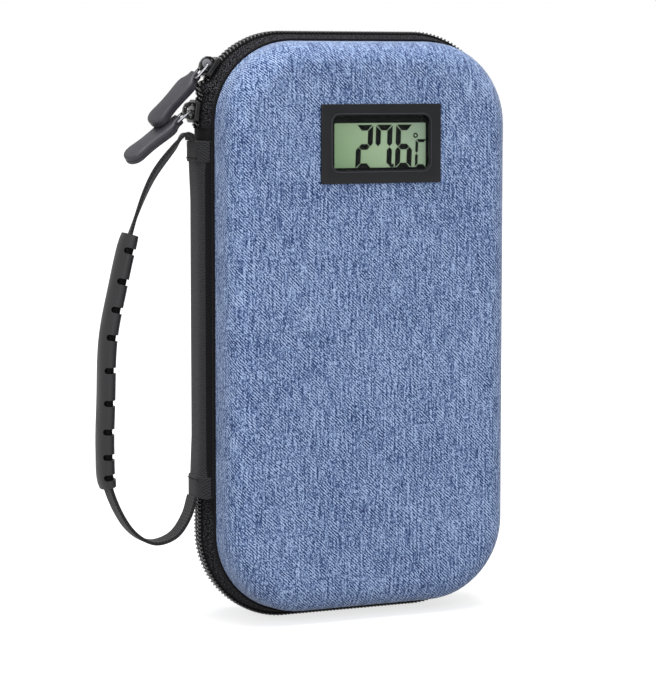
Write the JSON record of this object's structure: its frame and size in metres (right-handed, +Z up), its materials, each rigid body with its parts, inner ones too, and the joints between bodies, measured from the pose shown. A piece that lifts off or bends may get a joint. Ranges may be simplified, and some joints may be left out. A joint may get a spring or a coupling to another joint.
{
  "type": "insulin cooling case",
  "caption": "Hard-shell cloth-covered zip case that keeps insulin pens cool, with a panel thermometer in the lid, a side hinge panel and a carrying handle.",
  "frame": {"origin": "centre of the flat back of the base half", "axes": "+Y out of the flat back, +Z up the case as it stands, +X away from the hinge panel and the handle"},
  "size_m": [0.1587, 0.048, 0.2154],
  "materials": {
    "blue_cloth": "heathered denim-blue twill bonded over moulded foam",
    "black_cloth": "black woven cloth with a fine diagonal rib",
    "zip_tape": "black herringbone zip tape",
    "lining_cloth": "brushed black knit lining",
    "elastic": "ribbed black elastic",
    "black_webbing": "black ribbed polyester webbing",
    "zip_nylon": "satin black nylon coil",
    "grip_rubber": "matte black moulded rubber",
    "pull_rubber": "matte dark grey moulded rubber",
    "slider_metal": "black enamelled zinc",
    "wire_metal": "dark plated steel wire",
    "bezel_plastic": "satin black moulded plastic",
    "housing_plastic": "matte black moulded plastic",
    "clear_plastic": "clear polished acrylic",
    "crystal_glass": "grey-green reflective liquid crystal panel",
    "board_resin": "green circuit board",
    "cell_steel": "plated steel",
    "gel_film": "pale blue plastic film over gel"
  },
  "bodies": {
    "base": {"base_shell": "blue_cloth", "base_lining": "lining_cloth", "base_piping": "black_cloth", "base_zip_tape": "zip_tape", "base_zip_coil": "zip_nylon", "pen_loops_upper": "elastic", "pen_loops_lower": "elastic"},
    "spine": {"spine_panel": "black_cloth", "spine_lining": "lining_cloth", "spine_hem_upper": "black_cloth", "spine_hem_lower": "black_cloth", "hinge_tape_base": "zip_tape", "hinge_tape_lid": "zip_tape", "hinge_coil_base": "zip_nylon", "hinge_coil_lid": "zip_nylon", "strap_end_upper": "black_webbing", "strap_end_lower": "black_webbing"},
    "lid": {"lid_shell": "blue_cloth", "lid_lining": "lining_cloth", "lid_piping": "black_cloth", "lid_zip_tape": "zip_tape", "lid_zip_coil": "zip_nylon", "pocket_net": "elastic", "pocket_binding": "elastic", "gel_pack": "gel_film", "thermometer_bezel": "bezel_plastic", "thermometer_lens": "clear_plastic", "crystal_display": "crystal_glass", "circuit_board": "board_resin", "thermometer_back": "housing_plastic", "button_cell_left": "cell_steel", "button_cell_right": "cell_steel", "retaining_clip_left": "housing_plastic", "retaining_clip_right": "housing_plastic"},
    "battery_cover": {"battery_cover": "housing_plastic"},
    "handle": {"handle_strap": "black_webbing", "handle_grip": "grip_rubber"},
    "slider_upper": {"zip_slider_upper": "slider_metal"},
    "pull_upper": {"zip_bail_upper": "wire_metal", "zip_pull_upper": "pull_rubber"},
    "slider_lower": {"zip_slider_lower": "slider_metal"},
    "pull_lower": {"zip_bail_lower": "wire_metal", "zip_pull_lower": "pull_rubber"}
  },
  "joints": [
    {"name": "spine_fold", "type": "hinge", "parent": "base", "child": "spine", "pos_m": [-0.0574, -0.014, 0], "axis": [0, 0, -1], "range_deg": [0, 90]},
    {"name": "lid_fold", "type": "hinge", "parent": "spine", "child": "lid", "pos_m": [-0.0574, -0.031, 0], "axis": [0, 0, -1], "range_deg": [0, 90]},
    {"name": "handle_swing", "type": "hinge", "parent": "spine", "child": "handle", "pos_m": [-0.06704, -0.022, 0.06705], "axis": [-0.0059, 0, 1], "range_deg": [-75, 4]},
    {"name": "slider_upper_travel", "type": "hinge", "parent": "spine", "child": "slider_upper", "pos_m": [-0.0265, -0.022, 0.074], "axis": [0, -1, 0], "range_deg": [-46, 0]},
    {"name": "slider_lower_travel", "type": "hinge", "parent": "spine", "child": "slider_lower", "pos_m": [-0.0265, -0.022, 0.074], "axis": [0, 1, 0], "range_deg": [-2, 0]},
    {"name": "pull_upper_swing", "type": "hinge", "parent": "slider_upper", "child": "pull_upper", "pos_m": [-0.05564, -0.022, 0.09556], "axis": [0, 1, 0], "range_deg": [0, 150]},
    {"name": "pull_lower_swing", "type": "hinge", "parent": "slider_lower", "child": "pull_lower", "pos_m": [-0.06241, -0.022, 0.07892], "axis": [0, 1, 0], "range_deg": [-8, 0]},
    {"name": "battery_cover_lift", "type": "slide", "parent": "lid", "child": "battery_cover", "axis": [0, 1, 0], "range_m": [0, 0.006]}
  ],
  "couplings": [
    {"joint": "lid_fold", "follows": "spine_fold", "ratio": 1}
  ]
}
